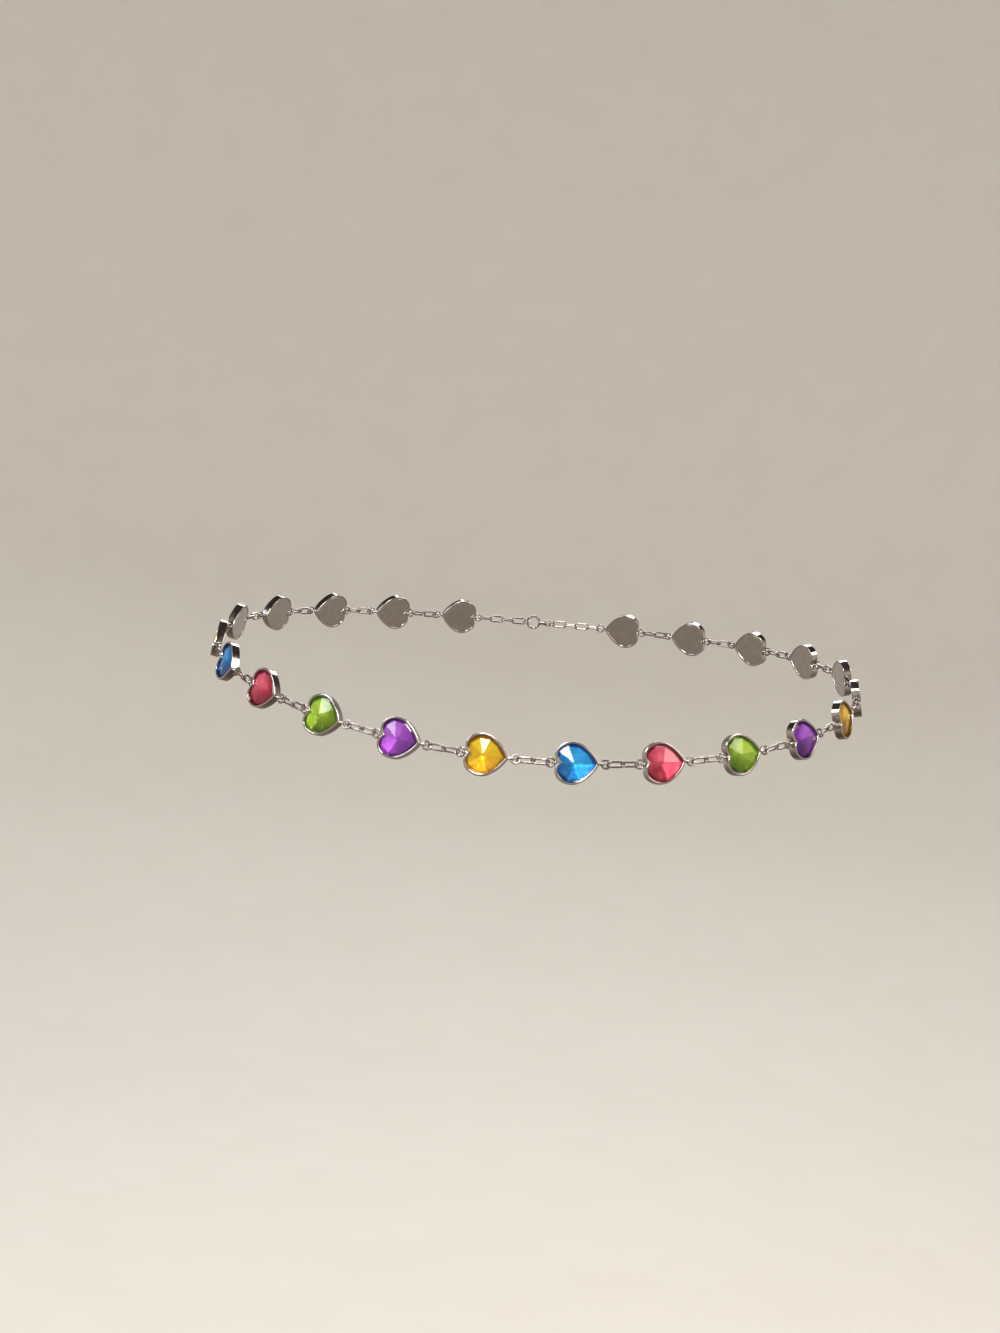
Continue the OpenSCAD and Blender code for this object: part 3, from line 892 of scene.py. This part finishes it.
def softbox(name, azimuth, elevation, distance, width, height, watts, colour):
    """A soft area light that faces the chain; azimuth 0 is in front of it, and it grows towards +X."""
    a, e = math.radians(azimuth), math.radians(elevation)
    spot = distance * MM * Vector((math.sin(a) * math.cos(e), -math.cos(a) * math.cos(e), math.sin(e)))
    data = bpy.data.lights.new(name, "AREA")
    data.shape = "RECTANGLE"
    data.size, data.size_y = width * MM, height * MM
    data.energy = watts
    data.color = linear(colour)[:3]
    light = bpy.data.objects.new(name, data)
    facing = (-spot).to_track_quat("-Z", "Y").to_matrix().to_4x4()
    light.matrix_world = Matrix.Translation(spot) @ facing
    bpy.context.scene.collection.objects.link(light)
    return light


# Each lamp's azimuth and elevation in degrees, distance, width and height, watts and colour
softbox("window_light", -8, 38, 1300, 400, 380, 11, "#FFF8EE")
fill_lights = [softbox("side_light", 62, 34, 1500, 700, 700, 8, "#FFF4E6"),
               softbox("left_light", -58, 33, 1500, 500, 600, 9, "#F4F6FF"),
               softbox("back_light", 172, 38, 1500, 800, 500, 10, "#FFFFFF")]
# Inside the stones only the window and the even studio show, so few facets burn out
for light in fill_lights:
    light.visible_transmission = False

world = bpy.data.worlds.new("studio")
world.use_nodes = True
sky = world.node_tree
sky.nodes.clear()
# The pale studio that lights the chain, what shines inside its stones (most from below, where the floor is),
# and the room that its metal shows: light at the chain's own height, brown below it and dim above the lamps
ROOM_BANDS = ((0.0, "#5E4C3E"), (0.3, "#A3958A"), (0.47, "#D2C9C1"), (0.6, "#B9B0A8"),
              (0.8, "#3A322C"), (1.0, "#3A322C"))
STUDIO_WHITE = linear("#F4F1ED")
STUDIO_LIGHT, ROOM_LIGHT = 0.8, 0.8
# What shines inside the stones, straight below them and straight above them
GLOW_BELOW, GLOW_ABOVE = 1.85, 0.05
up = add(sky, "ShaderNodeSeparateXYZ", {"Vector": add(sky, "ShaderNodeTexCoord").outputs["Generated"]})
height = add(sky, "ShaderNodeMapRange", {"Value": up.outputs["Z"], "From Min": -1.0, "From Max": 1.0})
room = add(sky, "ShaderNodeValToRGB", {"Fac": height.outputs["Result"]})
bands = room.color_ramp.elements
for position, colour in ROOM_BANDS[1:-1]:
    bands.new(position)
for band, (position, colour) in zip(bands, ROOM_BANDS):
    band.color = linear(colour)
pale = add(sky, "ShaderNodeBackground", {"Color": STUDIO_WHITE, "Strength": STUDIO_LIGHT})
glow = add(sky, "ShaderNodeMapRange", {"Value": up.outputs["Z"], "From Min": -1.0, "From Max": 1.0,
                                       "To Min": GLOW_BELOW, "To Max": GLOW_ABOVE})
within = add(sky, "ShaderNodeBackground", {"Color": STUDIO_WHITE, "Strength": glow.outputs["Result"]})
dim = add(sky, "ShaderNodeBackground", {"Color": room.outputs["Color"], "Strength": ROOM_LIGHT})
path = add(sky, "ShaderNodeLightPath").outputs
outside = add(sky, "ShaderNodeMixShader", {0: path["Is Glossy Ray"], 1: pale.outputs["Background"],
                                           2: dim.outputs["Background"]})
studio = add(sky, "ShaderNodeMixShader", {0: path["Is Transmission Ray"], 1: outside.outputs["Shader"],
                                          2: within.outputs["Background"]})
add(sky, "ShaderNodeOutputWorld", {"Surface": studio.outputs["Shader"]})
bpy.context.scene.world = world

# The photograph's camera, fitted to the hearts: the point it looks at, in the part and in the picture,
# the side it looks from in degrees, its distance, and its lens in pixels of the picture
PHOTO_SIZE = (1000, 1333)
SENSOR = 36
LOOK_AT = Vector((0, 0, 19))
AZIMUTH, ELEVATION, ROLL = (math.radians(a) for a in (0.704, 4.0, 5.189))
DISTANCE = 800
LENS_PIXELS = 1842.2
LOOK_AT_PIXEL = (540.5, 638.7)

forward = Vector((math.sin(AZIMUTH) * math.cos(ELEVATION), math.cos(AZIMUTH) * math.cos(ELEVATION),
                  -math.sin(ELEVATION)))
level = Vector((math.cos(AZIMUTH), -math.sin(AZIMUTH), 0))
above = level.cross(forward)
right = math.cos(ROLL) * level + math.sin(ROLL) * above
upright = math.cos(ROLL) * above - math.sin(ROLL) * level
lens = bpy.data.cameras.new("photo_camera")
lens.sensor_fit = "VERTICAL"
lens.sensor_height = SENSOR
lens.lens = LENS_PIXELS * SENSOR / PHOTO_SIZE[1]
lens.shift_x = (PHOTO_SIZE[0] / 2 - LOOK_AT_PIXEL[0]) / PHOTO_SIZE[1]
lens.shift_y = (LOOK_AT_PIXEL[1] - PHOTO_SIZE[1] / 2) / PHOTO_SIZE[1]
lens.clip_start, lens.clip_end = 0.01, 50
camera = bpy.data.objects.new("photo_camera", lens)
axes = Matrix((right, upright, -forward)).transposed().to_4x4()
camera.matrix_world = Matrix.Translation((LOOK_AT - DISTANCE * forward) * MM) @ axes
bpy.context.scene.collection.objects.link(camera)
bpy.context.scene.camera = camera
bpy.context.scene.view_settings.view_transform = "Standard"
